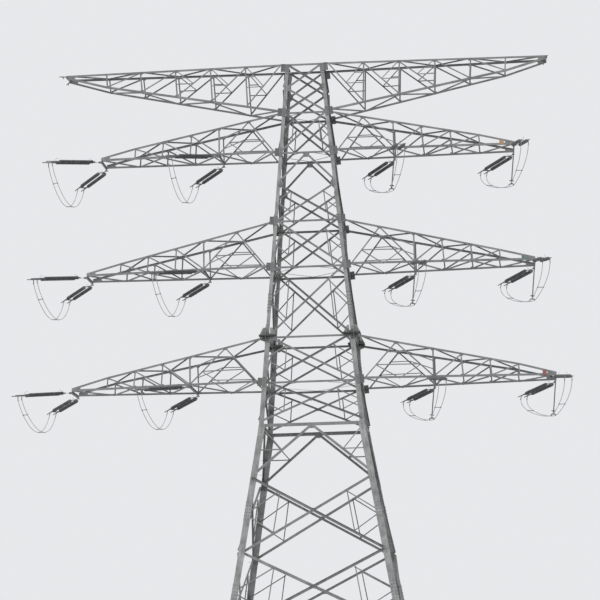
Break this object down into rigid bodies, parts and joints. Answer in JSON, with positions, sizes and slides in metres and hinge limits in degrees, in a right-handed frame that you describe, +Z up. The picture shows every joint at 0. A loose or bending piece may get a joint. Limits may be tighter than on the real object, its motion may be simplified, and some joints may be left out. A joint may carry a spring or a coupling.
{
  "type": "lattice transmission pylon",
  "caption": "Lattice steel tension pylon with a square tapered body, crossarms on both sides, horizontal insulator strings and hanging jumper cables.",
  "frame": {"origin": "on the tower's axis, at the level of the underside of the four base plates", "axes": "+Z up, crossarms along X, front face towards -Y"},
  "size_m": [30.3558, 11.3947, 36.0222],
  "materials": {
    "leg_galvanized_steel": "hot-dip galvanized, weathered matt",
    "bracing_galvanized_steel": "hot-dip galvanized, weathered matt",
    "insulator_polymer": "matt dark grey silicone rubber sheds",
    "forged_fittings": "galvanized forgings",
    "aluminium_conductor": "stranded aluminium, weathered"
  },
  "bodies": {
    "root": {"base_plates": "leg_galvanized_steel", "crossarm_1_left_back": "bracing_galvanized_steel", "crossarm_1_left_front": "bracing_galvanized_steel", "crossarm_1_left_plan": "bracing_galvanized_steel", "crossarm_1_right_back": "bracing_galvanized_steel", "crossarm_1_right_front": "bracing_galvanized_steel", "crossarm_1_right_plan": "bracing_galvanized_steel", "crossarm_2_left_back": "bracing_galvanized_steel", "crossarm_2_left_front": "bracing_galvanized_steel", "crossarm_2_left_plan": "bracing_galvanized_steel", "crossarm_2_right_back": "bracing_galvanized_steel", "crossarm_2_right_front": "bracing_galvanized_steel", "crossarm_2_right_plan": "bracing_galvanized_steel", "crossarm_3_left_back": "bracing_galvanized_steel", "crossarm_3_left_front": "bracing_galvanized_steel", "crossarm_3_left_plan": "bracing_galvanized_steel", "crossarm_3_right_back": "bracing_galvanized_steel", "crossarm_3_right_front": "bracing_galvanized_steel", "crossarm_3_right_plan": "bracing_galvanized_steel", "crossarm_4_left_back": "bracing_galvanized_steel", "crossarm_4_left_front": "bracing_galvanized_steel", "crossarm_4_left_plan": "bracing_galvanized_steel", "crossarm_4_right_back": "bracing_galvanized_steel", "crossarm_4_right_front": "bracing_galvanized_steel", "crossarm_4_right_plan": "bracing_galvanized_steel", "insulators_left": "insulator_polymer", "insulators_right": "insulator_polymer", "jumper_posts_right": "insulator_polymer", "jumpers_left": "aluminium_conductor", "jumpers_right": "aluminium_conductor", "leg_back_left": "leg_galvanized_steel", "leg_back_right": "leg_galvanized_steel", "leg_front_left": "leg_galvanized_steel", "leg_front_right": "leg_galvanized_steel", "lower_bracing_back": "bracing_galvanized_steel", "lower_bracing_front": "bracing_galvanized_steel", "lower_bracing_left": "bracing_galvanized_steel", "lower_bracing_right": "bracing_galvanized_steel", "plan_frames": "bracing_galvanized_steel", "string_fittings_left": "forged_fittings", "string_fittings_right": "forged_fittings", "upper_bracing_back": "bracing_galvanized_steel", "upper_bracing_front": "bracing_galvanized_steel", "upper_bracing_left": "bracing_galvanized_steel", "upper_bracing_right": "bracing_galvanized_steel"}
  },
  "joints": []
}
